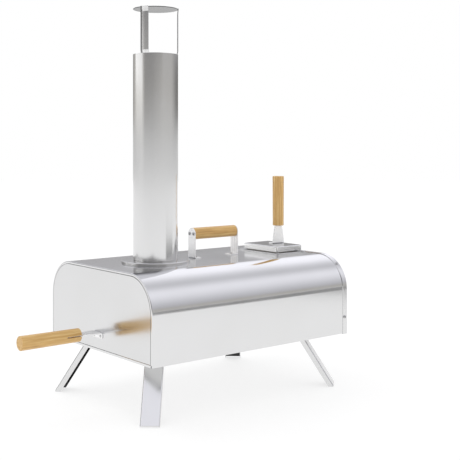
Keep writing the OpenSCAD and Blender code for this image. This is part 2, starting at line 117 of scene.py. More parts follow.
def stretched_noise(shader, scale, stretch, detail=4.0, rough=0.55):
    """Noise in the piece's own space, stretched along the axis whose factor is small."""
    coords = shader.add("ShaderNodeTexCoord")
    mapping = shader.add("ShaderNodeMapping", {"Vector": coords.outputs["Object"], "Scale": stretch})
    return shader.add("ShaderNodeTexNoise", {"Vector": mapping.outputs["Vector"], "Scale": scale,
                                             "Detail": detail, "Roughness": rough})


def ramp(shader, fac, stops):
    node = shader.add("ShaderNodeValToRGB", {"Fac": fac})
    elements = node.color_ramp.elements
    while len(elements) < len(stops):
        elements.new(0.5)
    for element, (place, colour) in zip(elements, stops):
        element.position = place
        element.color = (*colour, 1.0)
    return node.outputs["Color"]


def span(shader, value, low_out, high_out, low_in=0.0, high_in=1.0):
    node = shader.add("ShaderNodeMapRange", {"Value": value, "From Min": low_in, "From Max": high_in,
                                             "To Min": low_out, "To Max": high_out})
    return node.outputs["Result"]


def grain_scale(axis):
    """Mapping factors that draw a grain along one axis."""
    return tuple(0.012 if k == axis else 1.0 for k in "xyz")


# ---------- materials ----------

def steel(name, axis, tone=0.76, rough=0.14, grain=0.06, line_depth=0.004, metal=1.0):
    """Stainless sheet: fine lines along one axis and slight cloudiness. Tone is its brightness."""
    s = Shader(name)
    lines = stretched_noise(s, 1400.0, grain_scale(axis), 3.0, 0.6)
    clouds = stretched_noise(s, 9.0, (1.0, 1.0, 1.0), 3.0, 0.5)
    s.set(Metallic=metal)
    s.link(ramp(s, clouds.outputs["Fac"], [(0.3, (tone * 0.97,) * 3), (0.7, (tone, tone, tone * 1.005))]),
           "Base Color")
    mix = s.add("ShaderNodeMath", {0: lines.outputs["Fac"], 1: clouds.outputs["Fac"]}, operation="MULTIPLY")
    s.link(span(s, mix.outputs["Value"], rough - grain / 2, rough + grain / 2, 0.1, 0.45), "Roughness")
    bump = s.add("ShaderNodeBump", {"Height": lines.outputs["Fac"], "Strength": 0.5,
                                    "Distance": line_depth * MM})
    s.link(bump.outputs["Normal"], "Normal")
    return s.material


def heat_steel(name):
    """Dull inner sheet with straw and brown heat tint and soot."""
    s = Shader(name)
    tint = stretched_noise(s, 14.0, (1.0, 0.5, 1.0), 5.0, 0.6)
    fine = stretched_noise(s, 400.0, (1.0, 1.0, 1.0), 2.0)
    s.set(Metallic=1.0)
    s.link(ramp(s, tint.outputs["Fac"], [(0.25, (0.20, 0.18, 0.16)), (0.5, (0.40, 0.37, 0.33)),
                                         (0.75, (0.50, 0.47, 0.44))]), "Base Color")
    s.link(span(s, tint.outputs["Fac"], 0.42, 0.30), "Roughness")
    bump = s.add("ShaderNodeBump", {"Height": fine.outputs["Fac"], "Strength": 0.2, "Distance": 0.05 * MM})
    s.link(bump.outputs["Normal"], "Normal")
    return s.material


def wood(name, axis):
    """Light oiled hardwood: growth bands along the grip, fine fibres and short dark pores."""
    s = Shader(name)
    along = grain_scale(axis)
    coords = s.add("ShaderNodeTexCoord")
    warp = stretched_noise(s, 40.0, tuple(0.25 if v < 1 else 1.0 for v in along), 3.0)
    bands_map = s.add("ShaderNodeMapping", {"Vector": coords.outputs["Object"],
                                            "Scale": tuple(0.04 if v < 1 else 1.0 for v in along),
                                            "Location": (0.013, 0.021, 0.017)})
    shift = s.add("ShaderNodeVectorMath", {0: warp.outputs["Color"], "Scale": 0.006}, operation="SCALE")
    place = s.add("ShaderNodeVectorMath", {0: bands_map.outputs["Vector"], 1: shift.outputs["Vector"]})
    bands = s.add("ShaderNodeTexNoise", {"Vector": place.outputs["Vector"], "Scale": 230.0, "Detail": 2.0})
    fibres = stretched_noise(s, 1900.0, tuple(0.02 if v < 1 else 1.0 for v in along), 4.0, 0.65)
    pores = stretched_noise(s, 900.0, tuple(0.045 if v < 1 else 1.0 for v in along), 2.0, 0.5)
    base = ramp(s, bands.outputs["Fac"], [(0.30, (0.56, 0.32, 0.10)), (0.48, (0.70, 0.43, 0.15)),
                                          (0.70, (0.82, 0.57, 0.24))])
    fibre_tone = ramp(s, fibres.outputs["Fac"], [(0.30, (0.80, 0.76, 0.70)), (0.62, (1.0, 1.0, 1.0))])
    pore_tone = ramp(s, pores.outputs["Fac"], [(0.27, (0.45, 0.34, 0.26)), (0.33, (1.0, 1.0, 1.0))])
    first = s.add("ShaderNodeMix", {"Factor": 0.8, 6: base, 7: fibre_tone}, data_type="RGBA",
                  blend_type="MULTIPLY")
    second = s.add("ShaderNodeMix", {"Factor": 0.55, 6: first.outputs[2], 7: pore_tone}, data_type="RGBA",
                   blend_type="MULTIPLY")
    s.link(second.outputs[2], "Base Color")
    s.link(span(s, fibres.outputs["Fac"], 0.50, 0.38), "Roughness")
    bump = s.add("ShaderNodeBump", {"Height": fibres.outputs["Fac"], "Strength": 0.35,
                                    "Distance": 0.12 * MM})
    s.link(bump.outputs["Normal"], "Normal")
    s.set(Coat_Weight=0.12, Coat_Roughness=0.3)
    return s.material


def stone(name):
    """Matt cordierite: warm beige with small dark and light grains."""
    s = Shader(name)
    specks = stretched_noise(s, 700.0, (1.0, 1.0, 1.0), 2.0, 0.7)
    clouds = stretched_noise(s, 18.0, (1.0, 1.0, 1.0), 4.0)
    base = ramp(s, clouds.outputs["Fac"], [(0.3, (0.52, 0.43, 0.31)), (0.7, (0.66, 0.57, 0.44))])
    speck_tone = ramp(s, specks.outputs["Fac"], [(0.3, (0.7, 0.66, 0.6)), (0.5, (1, 1, 1))])
    mix = s.add("ShaderNodeMix", {"Factor": 0.7, 6: base, 7: speck_tone}, data_type="RGBA",
                blend_type="MULTIPLY")
    s.link(mix.outputs[2], "Base Color")
    s.set(Roughness=0.9)
    bump = s.add("ShaderNodeBump", {"Height": specks.outputs["Fac"], "Strength": 0.5, "Distance": 0.3 * MM})
    s.link(bump.outputs["Normal"], "Normal")
    return s.material


def fibre_blanket(name):
    """White ceramic fibre, matted in random directions."""
    s = Shader(name)
    mat = stretched_noise(s, 120.0, (1.0, 0.3, 1.0), 8.0, 0.75)
    s.link(ramp(s, mat.outputs["Fac"], [(0.3, (0.66, 0.64, 0.60)), (0.6, (0.86, 0.85, 0.82))]), "Base Color")
    s.set(Roughness=0.95)
    bump = s.add("ShaderNodeBump", {"Height": mat.outputs["Fac"], "Strength": 0.8, "Distance": 0.8 * MM})
    s.link(bump.outputs["Normal"], "Normal")
    return s.material


FLOOR_GLOW = 0.72


def floor_white(name):
    s = Shader(name)
    clouds = stretched_noise(s, 3.0, (1.0, 1.0, 1.0), 2.0)
    s.link(ramp(s, clouds.outputs["Fac"], [(0.3, (0.30, 0.30, 0.30)), (0.7, (0.31, 0.31, 0.31))]),
           "Base Color")
    s.set(Roughness=0.8, Specular_IOR_Level=0.2, Emission_Color=(1.0, 1.0, 1.0, 1.0),
          Emission_Strength=FLOOR_GLOW)
    return s.material


STEEL_Y = steel("polished_steel_lengthwise", "y")
STEEL_X = steel("polished_steel_across", "x", rough=0.19)
STEEL_Z = steel("polished_steel_upright", "z", rough=0.16)
STRAP_STEEL = steel("strap_steel", "z", tone=0.84, rough=0.18)
# A near-black copy of the steel for the chimney cap.
DARK_CAP_STEEL = steel("dark_cap_steel", "y", tone=0.12, rough=0.24)
LID_STEEL = steel("lid_steel", "x", tone=0.90, rough=0.11)
# A near-black copy of the steel: painted shade inside the leg channels.
LEG_INSIDE_PAINTED_SHADE = steel("leg_inside_painted_shade", "z", tone=0.05, rough=0.40)
LEG_STEEL = steel("leg_steel", "z", rough=0.22, grain=0.08)
BRUSHED = steel("brushed_steel", "z", tone=1.0, rough=0.26, grain=0.08, line_depth=0.005, metal=0.45)
BRUSHED_Y = steel("brushed_steel_lengthwise", "y", tone=1.0, rough=0.26, grain=0.08, line_depth=0.005,
                  metal=0.30)
FASTENER = steel("fastener_steel", "z", tone=0.50, rough=0.28, grain=0.10)
HEAT_STEEL = heat_steel("heat_dulled_steel")
# A dark copy of the strap steel: painted shade on the inside and one edge of each strap.
STRAP_PAINTED_SHADE = steel("strap_painted_shade", "z", tone=0.30, rough=0.30)
DOOR_STEEL = steel("door_steel", "x", tone=0.724, rough=0.19)
# A dark copy of the door steel: painted shade for the gap round the door.
DOOR_EDGE_PAINTED_SHADE = steel("door_edge_painted_shade", "x", tone=0.20, rough=0.35)
# A darker copy of the lid steel for the lid's top: painted shade against its lighter sides.
LID_TOP_PAINTED_SHADE = steel("lid_top", "x", tone=0.66, rough=0.11)
WOOD_Y = wood("oiled_wood_lengthwise", "y")
WOOD_Z = wood("oiled_wood_upright", "z")
STONE = stone("cordierite")
BLANKET = fibre_blanket("ceramic_fibre")


# ---------- mesh helpers ----------

def finish_piece(bm, name, material, body, replaces, bevel=0.0, inner=None):
    """Faces with material index 1 get the inner material, which every piece that passes one uses for painted
    shade.
    """
    bmesh.ops.remove_doubles(bm, verts=bm.verts, dist=1e-7)
    bmesh.ops.recalc_face_normals(bm, faces=bm.faces)
    mesh = bpy.data.meshes.new(name)
    bm.to_mesh(mesh)
    bm.free()
    piece = bpy.data.objects.new(name, mesh)
    bpy.context.collection.objects.link(piece)
    mesh.materials.append(material)
    if inner:
        mesh.materials.append(inner)
    dress(piece, bevel)
    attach(piece, body)
    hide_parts(*replaces)
    return piece


def dress(piece, bevel):
    """Smooth shading with sharp edges kept, a small bevel, and flat faces that stay flat."""
    for polygon in piece.data.polygons:
        polygon.use_smooth = True
    piece.data.set_sharp_from_angle(angle=SHARP)
    if bevel:
        edge = piece.modifiers.new("rounded edges", "BEVEL")
        edge.width = bevel
        edge.segments = 2
        edge.limit_method = "ANGLE"
        edge.angle_limit = SHARP
        edge.miter_outer = "MITER_ARC"
    normals = piece.modifiers.new("flat faces", "WEIGHTED_NORMAL")
    normals.keep_sharp = not bevel
    normals.weight = 90


def cut(bm, *cutters):
    """The bmesh less each cutter bmesh."""
    def as_object(source):
        mesh = bpy.data.meshes.new("cut")
        source.to_mesh(mesh)
        source.free()
        holder = bpy.data.objects.new("cut", mesh)
        bpy.context.collection.objects.link(holder)
        return holder
    bmesh.ops.recalc_face_normals(bm, faces=bm.faces)
    target = as_object(bm)
    tools = [as_object(cutter) for cutter in cutters]
    for tool in tools:
        step = target.modifiers.new("cut", "BOOLEAN")
        step.operation = "DIFFERENCE"
        step.solver = "EXACT"
        step.object = tool
    depsgraph = bpy.context.evaluated_depsgraph_get()
    result = bmesh.new()
    result.from_mesh(bpy.data.meshes.new_from_object(target.evaluated_get(depsgraph)))
    for holder in [target, *tools]:
        bpy.data.objects.remove(holder)
    bmesh.ops.dissolve_limit(result, angle_limit=0.0005, verts=result.verts, edges=result.edges)
    return result


def box_mesh(lo, hi):
    bm = bmesh.new()
    bmesh.ops.create_cube(bm, size=1.0)
    lo, hi = Vector(lo), Vector(hi)
    for vert in bm.verts:
        vert.co = Vector([lo[k] if vert.co[k] < 0 else hi[k] for k in range(3)])
    return bm


def rod_mesh(centre, radius, height, steps=64):
    """An upright round rod."""
    bm = bmesh.new()
    bmesh.ops.create_cone(bm, cap_ends=True, segments=steps, radius1=radius, radius2=radius, depth=height,
                          matrix=Matrix.Translation(centre))
    return bm


def lathe(profile, centre, axis="Z", steps=96, hollow=False):
    """Turns a list of (radius, height) round an axis through centre. A hollow profile closes on itself."""
    bm = bmesh.new()
    rings = []
    for radius, height in profile:
        ring = []
        for i in range(steps):
            a = 2 * math.pi * i / steps
            x, y = radius * math.cos(a), radius * math.sin(a)
            point = {"Z": (x, y, height), "Y": (x, height, y)}[axis]
            ring.append(bm.verts.new(Vector(centre) + Vector(point)))
        rings.append(ring)
    pairs = list(zip(rings, rings[1:]))
    if hollow:
        pairs.append((rings[-1], rings[0]))
    for first, second in pairs:
        for i in range(steps):
            j = (i + 1) % steps
            bm.faces.new((first[i], first[j], second[j], second[i]))
    if not hollow:
        bm.faces.new(rings[0])
        bm.faces.new(rings[-1])
    return bm


def arc(centre_u, centre_v, radius, start, end, steps=6):
    """Points of an arc, with its angles in degrees."""
    angles = [math.radians(start + (end - start) * i / steps) for i in range(steps + 1)]
    return [(centre_u + radius * math.cos(a), centre_v + radius * math.sin(a)) for a in angles]


def dee_path(width, height, radius, closed, steps=56):
    """The round-shouldered outline from lower left to lower right, as (x, z, outward x, outward z)."""
    half = width / 2
    foot = -1 if closed else 0
    path = [(-half, 0, -1, foot)]
    for side, first, last in ((-1, 180, 90), (1, 90, 0)):
        cx, cz = side * (half - radius), height - radius
        for i in range(steps + 1):
            a = math.radians(first + (last - first) * i / steps)
            path.append((cx + radius * math.cos(a), cz + radius * math.sin(a), math.cos(a), math.sin(a)))
    path.append((half, 0, 1, foot))
    return path


def plate_path(width, length, radius, steps=6):
    """A rectangle with round corners, centred on (0, 0), as (u, v, outward u, outward v)."""
    path = []
    for k, (su, sv) in enumerate(((1, 1), (-1, 1), (-1, -1), (1, -1))):
        for i in range(steps + 1):
            a = math.radians(90 * k + 90 * i / steps)
            path.append((su * (width / 2 - radius) + radius * math.cos(a),
                         sv * (length / 2 - radius) + radius * math.sin(a), math.cos(a), math.sin(a)))
    return path


def sweep(path, profile, place, closed=True, hollow=False):
    """Carries a profile of (inward, along) round a path. A hollow profile closes on itself;
    otherwise its first and last rings are capped."""
    bm = bmesh.new()
    rings = [[bm.verts.new(place(u - nu * inward, v - nv * inward, along)) for u, v, nu, nv in path]
             for inward, along in profile]
    pairs = list(zip(rings, rings[1:]))
    if hollow:
        pairs.append((rings[-1], rings[0]))
    count = len(path) if closed else len(path) - 1
    for first, second in pairs:
        for i in range(count):
            j = (i + 1) % len(path)
            bm.faces.new((first[i], first[j], second[j], second[i]))
    if closed and not hollow:
        bm.faces.new(rings[0])
        bm.faces.new(rings[-1])
    if not closed:
        bm.faces.new([ring[0] for ring in rings])
        bm.faces.new([ring[-1] for ring in rings])
    return bm


def on_body(u, v, along):
    """Places an outline point of the body: u across, v above its lower edge, along from the door."""
    return Vector((u, FRONT_Y + along, BODY_Z + v))


def strip(points, widths, side, thickness):
    """A flat bar that follows points, with its width along side and its thickness across it."""
    side = Vector(side).normalized()
    points = [Vector(p) for p in points]
    bm = bmesh.new()
    rings = []
    for i, point in enumerate(points):
        before = points[max(i - 1, 0)]
        after = points[min(i + 1, len(points) - 1)]
        first = (point - before).normalized() if i else (after - point).normalized()
        second = (after - point).normalized() if i < len(points) - 1 else first
        tangent = (first + second).normalized()
        out = tangent.cross(side).normalized() * (thickness / 2) / max(tangent.dot(first), 0.3)
        half = side * widths[i] / 2
        rings.append([bm.verts.new(point + s * half + t * out)
                      for s, t in ((-1, -1), (1, -1), (1, 1), (-1, 1))])
    for first, second in zip(rings, rings[1:]):
        for k in range(4):
            bm.faces.new((first[k], first[(k + 1) % 4], second[(k + 1) % 4], second[k]))
    bm.faces.new(rings[0])
    bm.faces.new(rings[-1])
    return bm


def merge(*parts):
    """Several bmeshes as one."""
    whole = bmesh.new()
    for part in parts:
        mesh = bpy.data.meshes.new("part")
        part.to_mesh(mesh)
        part.free()
        whole.from_mesh(mesh)
        bpy.data.meshes.remove(mesh)
    return whole


def seated(head, seat, outward):
    """Turns an upright head to face outward and sets it on its seat."""
    turn = Vector((0, 0, 1)).rotation_difference(Vector(outward)).to_matrix().to_4x4()
    bmesh.ops.transform(head, matrix=Matrix.Translation(seat) @ turn, verts=head.verts)
    return head


def screw_mesh(seat, outward, radius=SCREW_R, height=2.4 * MM):
    """A pan head with a cross recess, seated at a point and facing outward."""
    dome = [(radius, 0.0), (radius, height * 0.35)]
    dome += [(radius * math.cos(a), height * (0.35 + 0.65 * math.sin(a)))
             for a in (math.radians(k) for k in (20, 40, 58, 74))]
    head = lathe(dome, (0, 0, 0), steps=32)
    arm, half = radius * 0.62, radius * 0.11
    top = height * 1.2
    floor = height * 0.42
    head = cut(head, box_mesh((-arm, -half, floor), (arm, half, top)),
               box_mesh((-half, -arm, floor), (half, arm, top)))
    return seated(head, seat, outward)


def rivet_mesh(seat, outward, radius=3 * MM, height=1.5 * MM):
    """A low domed rivet head."""
    dome = [(radius * math.cos(a), height * math.sin(a))
            for a in (math.radians(k) for k in (0, 22, 45, 66, 82))]
    return seated(lathe(dome, (0, 0, 0), steps=32), seat, outward)


# ---------- body ----------

CHIMNEY = middle("chimney_flange")
COLLAR_R = size("chimney_collar").x / 2
LIP = 4.5 * MM
BEND = 1.6 * MM


def outer_shell():
    """One bent sheet whose front edge is rolled in to a narrow lip round the door."""
    end = size("outer_shell").y
    profile = [(0, end), (0, BEND)]
    profile += [(BEND - x, BEND - y) for x, y in arc(0, 0, BEND, 15, 90, 5)]
    profile += [(LIP - 0.3 * MM, 0), (LIP, 0.3 * MM), (LIP, SHEET - 0.3 * MM), (LIP - 0.3 * MM, SHEET),
                (BEND, SHEET), (SHEET, BEND), (SHEET, end)]
    shell = sweep(dee_path(BODY_W, BODY_H, SHOULDER_R, False), profile, on_body, False, True)
    collar_hole = rod_mesh((CHIMNEY.x, CHIMNEY.y, ROOF_Z), COLLAR_R + 0.5 * MM, 20 * MM)
    neck_lo, neck_hi = low("hopper_chute"), high("hopper_chute")
    neck_hole = box_mesh((neck_lo.x, neck_lo.y, ROOF_Z - 10 * MM), (neck_hi.x, neck_hi.y, ROOF_Z + 10 * MM))
    half = BODY_W / 2 - SHEET
    lower_lip = box_mesh((-half, FRONT_Y, BODY_Z), (half, FRONT_Y + SHEET, BODY_Z + LIP))
    return finish_piece(merge(cut(shell, collar_hole, neck_hole), lower_lip), "outer_shell_skin", STEEL_Y,
                        "oven_body", ["outer_shell"])


def rear_cap():
    """The end cover, with its flange over the shell and a rounded edge."""
    start = low("rear_cap").y - FRONT_Y
    end = REAR_Y - FRONT_Y
    box = size("rear_cap")
    path = [(u, v - SHEET, nu, nv) for u, v, nu, nv in dee_path(box.x, box.z, SHOULDER_R + SHEET, True)]
    profile = [(SHEET, end - SHEET), (SHEET, start + 0.3 * MM), (SHEET - 0.3 * MM, start), (0.4 * MM, start),
               (0, start + 0.4 * MM), (0, end - BEND)]
    profile += [(BEND - x, end - BEND + y) for x, y in arc(0, 0, BEND, 15, 90, 5)]
    tray_lo, tray_hi = low("burner_tray"), high("burner_tray")
    play = 1.5 * MM
    opening = box_mesh((tray_lo.x - play, REAR_Y - 10 * MM, tray_lo.z - 0.3 * MM),
                       (tray_hi.x + play, REAR_Y + 10 * MM, tray_hi.z + play))
    return finish_piece(cut(sweep(path, profile, on_body), opening), "rear_cap_skin", STEEL_X,
                        "oven_body", ["rear_cap"])


def rear_cap_screws():
    """Two on each side of the rear cap: one low on the side, one on the shoulder."""
    lo, hi = low("rear_cap_screws"), high("rear_cap_screws")
    y = (lo.y + hi.y) / 2
    side_z = lo.z + SCREW_R
    shoulder = math.radians(48)
    reach = SHOULDER_R + SHEET
    heads = []
    for s in (-1, 1):
        heads.append(screw_mesh((s * (BODY_W / 2 + SHEET), y, side_z), (s, 0, 0)))
        out = Vector((s * math.cos(shoulder), 0, math.sin(shoulder)))
        centre = Vector((s * (BODY_W / 2 - SHOULDER_R), y, ROOF_Z - SHOULDER_R))
        heads.append(screw_mesh(centre + out * reach, out))
    return finish_piece(merge(*heads), "rear_cap_screw_heads", FASTENER, "oven_body",
                        ["rear_cap_screws"])


# ---------- door ----------

def door_plate():
    """A flat plate with a rolled edge, just inside the shell's lip. All but its front face get a dark painted
    shade, for the gap round the door.
    """
    box = size("door_plate")
    margin = (BODY_W - box.x) / 2
    edge = 0.9 * MM
    path = [(u, v + margin, nu, nv)
            for u, v, nu, nv in dee_path(box.x, box.z, SHOULDER_R - margin, True)]
    profile = [(0, box.y), (0, edge)]
    profile += [(edge - x, edge - y) for x, y in arc(0, 0, edge, 18, 90, 4)]
    plate = finish_piece(sweep(path, profile, on_body), "door_skin", DOOR_STEEL, "door",
                         ["door_plate"], inner=DOOR_EDGE_PAINTED_SHADE)
    for face in plate.data.polygons:
        # All faces but the front get the painted shade.
        face.material_index = 0 if face.normal.y < -0.9 else 1
    return plate


TANG_T = 2.5 * MM
GRIP_TONGUE = 16 * MM
SLOT_PLAY = 0.15 * MM


def door_tang():
    """The flat bar of the door handle, bent down against the plate at one end."""
    lo, hi = low("door_tang"), high("door_tang")
    z = hi.z - TANG_T / 2
    grip_y = high("door_grip").y
    bend = 2.6 * MM
    corner = [(0, FRONT_Y - TANG_T / 2 - bend + y, z - bend + k)
              for y, k in arc(0, 0, bend, 0, 90, 5)]
    points = [(0, FRONT_Y - TANG_T / 2, lo.z)] + corner
    widths = [34 * MM] + [36 * MM] * 5 + [37 * MM]
    points += [(0, grip_y + 2 * MM, z), (0, grip_y + 1.9 * MM, z), (0, lo.y, z)]
    widths += [27 * MM, GRIP_TONGUE, GRIP_TONGUE]
    return finish_piece(strip(points, widths, (1, 0, 0), TANG_T), "door_tang_bar", BRUSHED_Y,
                        "door", ["door_tang"], 0.35 * MM)


def door_grip():
    """A turned wooden grip, slightly thicker at its outer end, sawn through for the tang."""
    lo, hi = low("door_grip"), high("door_grip")
    inner_r, outer_r = 14 * MM, 14.75 * MM
    round_in, round_out = 0.9 * MM, 1.4 * MM
    profile = [(inner_r - round_in + x, hi.y - round_in + y) for x, y in arc(0, 0, round_in, 90, 0, 5)]
    profile += [(outer_r - round_out + x, lo.y + round_out + y) for x, y in arc(0, 0, round_out, 0, -90, 6)]
    z = middle("door_grip").z
    grip = lathe(profile, (0, 0, z), "Y", 72)
    slot_half = TANG_T / 2 + SLOT_PLAY
    slot = box_mesh((-20 * MM, hi.y - 34 * MM, z - slot_half), (20 * MM, hi.y + 5 * MM, z + slot_half))
    return finish_piece(cut(grip, slot), "door_grip_turned", WOOD_Y, "door", ["door_grip"])


def door_rivets():
    lo, hi = low("door_rivets"), high("door_rivets")
    z = (lo.z + hi.z) / 2
    heads = [rivet_mesh((x, FRONT_Y - TANG_T, z), (0, -1, 0)) for x in (lo.x + 3 * MM, hi.x - 3 * MM)]
    return finish_piece(merge(*heads), "door_rivet_heads", FASTENER, "door", ["door_rivets"])


# ---------- chimney ----------

def chimney_flange():
    lo, hi = low("chimney_flange"), high("chimney_flange")
    outer, inner = size("chimney_flange").x / 2, COLLAR_R + 0.2 * MM
    edge = 1.2 * MM
    profile = [(inner, lo.z), (inner, hi.z)]
    profile += [(outer - edge + x, hi.z - edge + y) for x, y in arc(0, 0, edge, 90, 0, 5)]
    profile += [(outer, lo.z)]
    ring = lathe(profile, (CHIMNEY.x, CHIMNEY.y, 0), "Z", 128, True)
    return finish_piece(ring, "chimney_flange_ring", STEEL_Y, "oven_body",
                        ["chimney_flange"])


def chimney_pipe():
    """A rolled tube with softened rims."""
    lo, hi = low("chimney_pipe"), high("chimney_pipe")
    outer = size("chimney_pipe").x / 2
    inner = outer - SHEET
    soft = 0.3 * MM
    profile = [(inner, lo.z + soft), (inner + soft, lo.z), (outer - soft, lo.z), (outer, lo.z + soft),
               (outer, hi.z - soft), (outer - soft, hi.z), (inner + soft, hi.z), (inner, hi.z - soft)]
    tube = lathe(profile, (CHIMNEY.x, CHIMNEY.y, 0), "Z", 160, True)
    return finish_piece(tube, "chimney_tube", STEEL_Z, "chimney", ["chimney_pipe"])


def chimney_cap():
    """A thin disc with a rounded rim, very slightly domed."""
    lo, hi = low("chimney_cap"), high("chimney_cap")
    radius = size("chimney_cap").x / 2
    edge = 0.9 * MM
    profile = [(0.5 * MM, lo.z + 0.6 * MM), (radius * 0.7, lo.z + 0.4 * MM), (radius - edge, lo.z)]
    profile += [(radius - edge + x, lo.z + edge + y) for x, y in arc(0, 0, edge, -60, 60, 5)]
    profile += [(radius * 0.7, hi.z - 0.3 * MM), (0.5 * MM, hi.z)]
    disc = lathe(profile, (CHIMNEY.x, CHIMNEY.y, 0), "Z", 128)
    return finish_piece(disc, "chimney_cap_disc", DARK_CAP_STEEL, "chimney", ["chimney_cap"])


# Slanted rows of each strap's outside get a painted highlight; its first edge columns get painted shade.
STRAP_PAINTED_HIGHLIGHT_ROWS = (1, 3, 4)
STRAP_PAINTED_SHADE_COLUMNS = 2


def cap_strap(node, angle):
    """A strip curved like the pipe, stepped out over the rim and flared round the edge of the cap.
    Its inside and one edge get a dark painted shade, and the slanted rows of its outside get a painted
    highlight."""
    rim = high("chimney_pipe").z
    lo, hi = low(node).z, high(node).z
    outer = size("chimney_pipe").x / 2
    half_width = 10 * MM
    cap_z = low("chimney_cap").z
    out_in, out_up, out_cap = outer - SHEET, outer + 0.4 * MM, outer + SHEET
    stations = [(lo, out_in), (rim, out_in), (rim + 7 * MM, out_up), (cap_z - 9 * MM, out_up),
                (cap_z, out_cap), (hi, out_cap)]
    bm = bmesh.new()
    across = 8
    skins = []
    for depth in (0.0, SHEET):
        grid = []
        for z, reach in stations:
            row = []
            r = reach - depth
            half = math.asin(half_width / reach)
            for i in range(across + 1):
                a = math.radians(angle) - half + 2 * half * i / across
                row.append(bm.verts.new((CHIMNEY.x + r * math.cos(a), CHIMNEY.y + r * math.sin(a), z)))
            grid.append(row)
        for k, (first, second) in enumerate(zip(grid, grid[1:])):
            for i in range(across):
                face = bm.faces.new((first[i], first[i + 1], second[i + 1], second[i]))
                # The inside and the first edge columns get a dark painted shade; the slanted rows get a
                # painted highlight.
                if depth or i < STRAP_PAINTED_SHADE_COLUMNS:
                    face.material_index = 1
                elif k in STRAP_PAINTED_HIGHLIGHT_ROWS:
                    face.material_index = 2
        skins.append(grid)
    front, back = skins
    rows = len(stations) - 1
    border = [(0, i) for i in range(across)] + [(k, across) for k in range(rows)]
    border += [(rows, i) for i in range(across, 0, -1)] + [(k, 0) for k in range(rows, 0, -1)]
    for (r1, c1), (r2, c2) in zip(border, border[1:] + border[:1]):
        bm.faces.new((front[r1][c1], front[r2][c2], back[r2][c2], back[r1][c1]))
    strap = finish_piece(bm, node + "_strip", STRAP_STEEL, "chimney", [node], 0.25 * MM,
                         inner=STRAP_PAINTED_SHADE)
    # The third slot is the whiter brushed steel, used as a painted highlight on the slanted rows.
    strap.data.materials.append(BRUSHED)
    return strap


# ---------- carry handle ----------

def carry_bracket(node, inward):
    """A bent bar: a foot on the roof, a tight bend, and an upright with a round top."""
    lo, hi = low(node), high(node)
    width = hi.x - lo.x
    thick = 2 * MM
    bend = 2.2 * MM
    y_up = lo.y + thick / 2 if inward > 0 else hi.y - thick / 2
    y_tip = hi.y if inward > 0 else lo.y
    z_foot = lo.z + thick / 2
    corner = [(0, y_up + inward * (bend - bend * math.sin(a)), z_foot + bend - bend * math.cos(a))
              for a in QUARTER]
    points = [(0, y_tip, z_foot)] + corner
    widths = [width] * len(points)
    top_r = width / 2
    for k in range(0, 85, 6):
        a = math.radians(k)
        points.append((0, y_up, hi.z - top_r + top_r * math.sin(a)))
        widths.append(width * math.cos(a))
    return finish_piece(strip(points, widths, (1, 0, 0), thick), node + "_bar", BRUSHED,
                        "oven_body", [node], 0.3 * MM)


def carry_grip():
    lo, hi = low("carry_grip"), high("carry_grip")
    radius = size("carry_grip").x / 2
    edge = 1.6 * MM
    profile = [(radius - edge + x, lo.y + edge + y) for x, y in arc(0, 0, edge, -90, 0, 5)]
    profile += [(radius - edge + x, hi.y - edge + y) for x, y in arc(0, 0, edge, 0, 90, 5)]
    grip = lathe(profile, (0, 0, middle("carry_grip").z), "Y", 72)
    return finish_piece(grip, "carry_grip_turned", WOOD_Y, "oven_body", ["carry_grip"])


def carry_screws():
    """Two screws through each bracket into the grip, and one through each foot."""
    front, rear = low("carry_bracket_front").y, high("carry_bracket_rear").y
    z = middle("carry_grip").z
    heads = []
    for x in (-7.25 * MM, 7.25 * MM):
        heads.append(screw_mesh((x, front, z), (0, -1, 0)))
        heads.append(screw_mesh((x, rear, z), (0, 1, 0)))
    for y in (front + 11 * MM, rear - 11 * MM):
        heads.append(screw_mesh((0, y, ROOF_Z + 2 * MM), (0, 0, 1)))
    return finish_piece(merge(*heads), "carry_screw_heads", FASTENER, "oven_body",
                        ["carry_screws"])


# ---------- hopper ----------

def flat_place(centre):
    """Places an outline drawn flat round a centre."""
    return lambda u, v, along: Vector((centre.x + u, centre.y + v, along))


def hopper_flange():
    lo, hi = low("hopper_flange"), high("hopper_flange")
    edge = 0.5 * MM
    path = plate_path(hi.x - lo.x, hi.y - lo.y, 4 * MM)
    profile = [(0, lo.z), (0, hi.z - edge)]
    profile += [(edge - x, hi.z - edge + y) for x, y in arc(0, 0, edge, 20, 90, 3)]
    plate = sweep(path, profile, flat_place(middle("hopper_flange")))
    neck_lo, neck_hi = low("hopper_chute"), high("hopper_chute")
    hole = box_mesh((neck_lo.x, neck_lo.y, lo.z - 5 * MM), (neck_hi.x, neck_hi.y, hi.z + 5 * MM))
    return finish_piece(cut(plate, hole), "hopper_flange_plate", STEEL_X, "oven_body",
                        ["hopper_flange"])


def hopper_screws():
    lo, hi = low("hopper_screws"), high("hopper_screws")
    seat_z = high("hopper_flange").z
    heads = [screw_mesh((x, y, seat_z), (0, 0, 1))
             for x in (lo.x + SCREW_R, hi.x - SCREW_R) for y in (lo.y + SCREW_R, hi.y - SCREW_R)]
    return finish_piece(merge(*heads), "hopper_screw_heads", FASTENER, "oven_body",
                        ["hopper_screws"])


